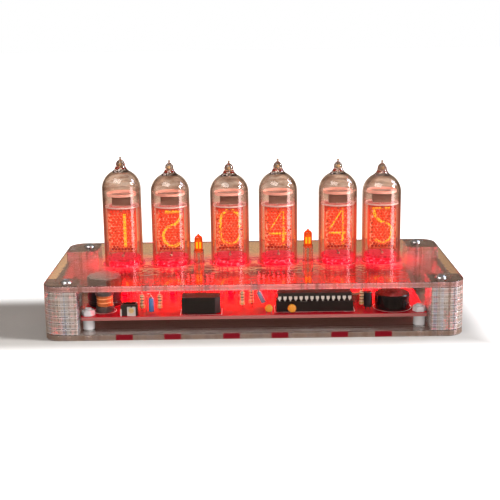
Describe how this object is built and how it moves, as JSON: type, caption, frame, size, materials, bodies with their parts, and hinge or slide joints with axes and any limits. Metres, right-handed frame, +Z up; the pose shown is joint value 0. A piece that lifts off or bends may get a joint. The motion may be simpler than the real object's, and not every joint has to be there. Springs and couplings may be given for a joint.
{
  "type": "nixie tube clock",
  "caption": "Desk clock with glowing numeral tubes in pairs, standing through the lid of a low, clear stacked-sheet case over a red circuit board.",
  "frame": {"origin": "middle of the case's underside, on the surface that the clock stands on", "axes": "+X to the right along the row of tubes, +Y to the back, +Z up"},
  "size_m": [0.195, 0.09, 0.0793],
  "materials": {
    "clear_sheet": "polished clear sheet, cut edges",
    "tube_glass": "clear blown glass",
    "anode_metal": "dull etched sheet",
    "cathode_metal": "thin wire-like sheet, one numeral glowing orange",
    "bolt_steel": "bright plated steel",
    "board_red": "glossy red lacquer over glass fibre",
    "nylon": "milky nylon",
    "ceramic": "white ceramic and mica",
    "tinned_wire": "tinned wire",
    "led_red": "clear red plastic, lit",
    "lamp_glass": "small glowing lamp",
    "clear_sleeve": "clear tube",
    "chip_black": "moulded black plastic",
    "button_black": "moulded black plastic",
    "ferrite": "dark grey ferrite",
    "copper": "enamelled copper wire",
    "resistor_beige": "lacquered, with colour bands",
    "diode_blue": "blue and grey coated glass",
    "amber_dip": "dipped amber coating",
    "can_black": "black sleeve over an aluminium can",
    "rotor_brass": "slotted disc"
  },
  "bodies": {
    "clock": {"base_plate": "clear_sheet", "top_plate": "clear_sheet", "corner_spacers": "clear_sheet", "left_frame_1": "clear_sheet", "left_frame_2": "clear_sheet", "left_frame_3": "clear_sheet", "left_frame_4": "clear_sheet", "left_frame_5": "clear_sheet", "right_frame_1": "clear_sheet", "right_frame_2": "clear_sheet", "right_frame_3": "clear_sheet", "right_frame_4": "clear_sheet", "right_frame_5": "clear_sheet", "tube_1_envelope": "tube_glass", "tube_1_anode": "anode_metal", "tube_1_cathodes": "cathode_metal", "tube_2_envelope": "tube_glass", "tube_2_anode": "anode_metal", "tube_2_cathodes": "cathode_metal", "tube_3_envelope": "tube_glass", "tube_3_anode": "anode_metal", "tube_3_cathodes": "cathode_metal", "tube_4_envelope": "tube_glass", "tube_4_anode": "anode_metal", "tube_4_cathodes": "cathode_metal", "tube_5_envelope": "tube_glass", "tube_5_anode": "anode_metal", "tube_5_cathodes": "cathode_metal", "tube_6_envelope": "tube_glass", "tube_6_anode": "anode_metal", "tube_6_cathodes": "cathode_metal", "case_bolts": "bolt_steel", "circuit_board": "board_red", "board_standoffs": "nylon", "board_screws": "nylon", "board_nuts": "nylon", "tube_supports": "ceramic", "tube_leads": "tinned_wire", "underlight_leds": "led_red", "colon_lamps": "lamp_glass", "colon_sleeves": "clear_sleeve", "controller_chip": "chip_black", "chip_socket": "chip_black", "driver_chips": "chip_black", "quartz_crystal": "bolt_steel", "converter_module": "chip_black", "choke_core": "ferrite", "choke_winding": "copper", "buzzer": "chip_black", "resistors": "resistor_beige", "diodes": "diode_blue", "ceramic_capacitors": "amber_dip", "electrolytic_capacitors": "can_black", "power_jack": "chip_black", "trimmer_body": "chip_black", "trimmer_plate": "bolt_steel", "button_bodies": "chip_black"},
    "rotor": {"trimmer_rotor": "rotor_brass"},
    "button_1": {"set_button_1": "button_black"},
    "button_2": {"set_button_2": "button_black"}
  },
  "joints": [
    {"name": "trimmer_turn", "type": "hinge", "parent": "clock", "child": "rotor", "pos_m": [-0.0573, -0.037, 0.0121], "axis": [0, 1, 0], "range_deg": [-120, 120]},
    {"name": "button_1_press", "type": "slide", "parent": "clock", "child": "button_1", "axis": [0, -1, 0], "range_m": [0, 0.0005], "stiffness_N_per_m": 300},
    {"name": "button_2_press", "type": "slide", "parent": "clock", "child": "button_2", "axis": [0, -1, 0], "range_m": [0, 0.0005], "stiffness_N_per_m": 300}
  ]
}
